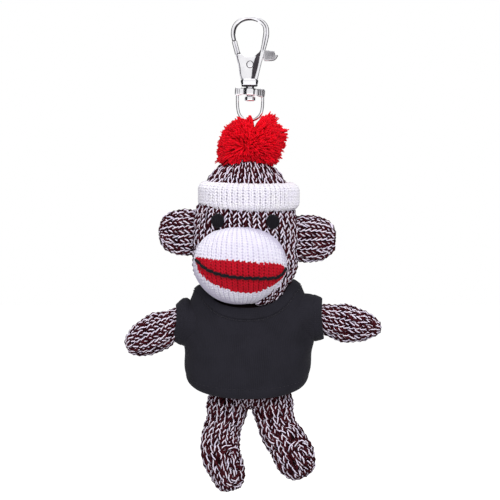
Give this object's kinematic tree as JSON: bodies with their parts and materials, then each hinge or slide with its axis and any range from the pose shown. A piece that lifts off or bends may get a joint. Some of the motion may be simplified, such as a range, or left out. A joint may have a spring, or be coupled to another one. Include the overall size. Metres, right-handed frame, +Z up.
{
  "type": "plush monkey keychain",
  "caption": "Stuffed sock monkey with a yarn pom-pom hat and a blank shirt, hung on a swivelling snap hook with a sprung gate.",
  "frame": {"origin": "middle of the flat seat at the top of the hook's eye, where a key ring bears", "axes": "+Z up along the hanging direction, -Y is the way the face looks, +X is the viewer's right seen from the front"},
  "size_m": [0.1031, 0.0444, 0.1881],
  "materials": {
    "metal": "polished nickel plate",
    "marl_knit": "two-ply marl knit",
    "white_knit": "fine knit",
    "red_yarn": "yarn",
    "black_thread": "thread",
    "jersey": "fine jersey",
    "filling": "loose polyester fibre"
  },
  "bodies": {
    "hook": {"hook_body": "metal", "pivot_rivet": "metal", "gate_spring": "metal", "swivel_post": "metal"},
    "gate": {"gate_lever": "metal"},
    "ring": {"swivel_ring": "metal"},
    "head": {"head_cover": "marl_knit", "head_stuffing": "filling", "hat_crown": "marl_knit", "hat_brim": "white_knit", "pompom": "red_yarn", "pompom_tie": "red_yarn", "hanging_loop": "red_yarn", "ear_left": "marl_knit", "ear_stuffing_left": "filling", "ear_right": "marl_knit", "ear_stuffing_right": "filling", "nose_panel": "white_knit", "lip_panel": "red_yarn", "chin_panel": "white_knit", "muzzle_stuffing": "filling", "mouth_thread": "black_thread", "eye_left": "black_thread", "eye_right": "black_thread"},
    "torso": {"body_cover": "marl_knit", "body_stuffing": "filling", "shirt_body": "jersey", "neck_band": "jersey"},
    "left_arm": {"arm_left": "marl_knit", "arm_stuffing_left": "filling", "sleeve_left": "jersey"},
    "right_arm": {"arm_right": "marl_knit", "arm_stuffing_right": "filling", "sleeve_right": "jersey"},
    "left_leg": {"leg_left": "marl_knit", "leg_stuffing_left": "filling"},
    "right_leg": {"leg_right": "marl_knit", "leg_stuffing_right": "filling"}
  },
  "joints": [
    {"name": "gate_pivot", "type": "hinge", "parent": "hook", "child": "gate", "pos_m": [0, 0, -0.0178], "axis": [0, 1, 0], "range_deg": [0, 28], "stiffness_Nm_per_rad": 0.01, "springref_deg": -28.65, "deforming": ["gate_spring"]},
    {"name": "hook_swivel", "type": "hinge", "parent": "hook", "child": "ring", "pos_m": [0, 0, -0.0286], "axis": [0, 0, 1], "continuous": true},
    {"name": "ring_swing", "type": "hinge", "parent": "ring", "child": "head", "pos_m": [0, 0, -0.04], "axis": [0.9659, -0.2588, 0], "range_deg": [-45, 45]},
    {"name": "neck_turn", "type": "hinge", "parent": "head", "child": "torso", "pos_m": [-0.0015, 0.0015, -0.113], "axis": [0, 0, 1], "range_deg": [-12, 12], "stiffness_Nm_per_rad": 0.03},
    {"name": "left_shoulder", "type": "hinge", "parent": "torso", "child": "left_arm", "pos_m": [-0.0215, 0.0015, -0.1164], "axis": [0, 1, 0], "range_deg": [-12, 30], "stiffness_Nm_per_rad": 0.02},
    {"name": "right_shoulder", "type": "hinge", "parent": "torso", "child": "right_arm", "pos_m": [0.0215, 0.0015, -0.1164], "axis": [0, -1, 0], "range_deg": [-12, 30], "stiffness_Nm_per_rad": 0.02},
    {"name": "left_hip", "type": "hinge", "parent": "torso", "child": "left_leg", "pos_m": [-0.0088, 0.0015, -0.1515], "axis": [-1, 0, 0], "range_deg": [-20, 40], "stiffness_Nm_per_rad": 0.02},
    {"name": "right_hip", "type": "hinge", "parent": "torso", "child": "right_leg", "pos_m": [0.0088, 0.0015, -0.1515], "axis": [-1, 0, 0], "range_deg": [-20, 40], "stiffness_Nm_per_rad": 0.02}
  ]
}
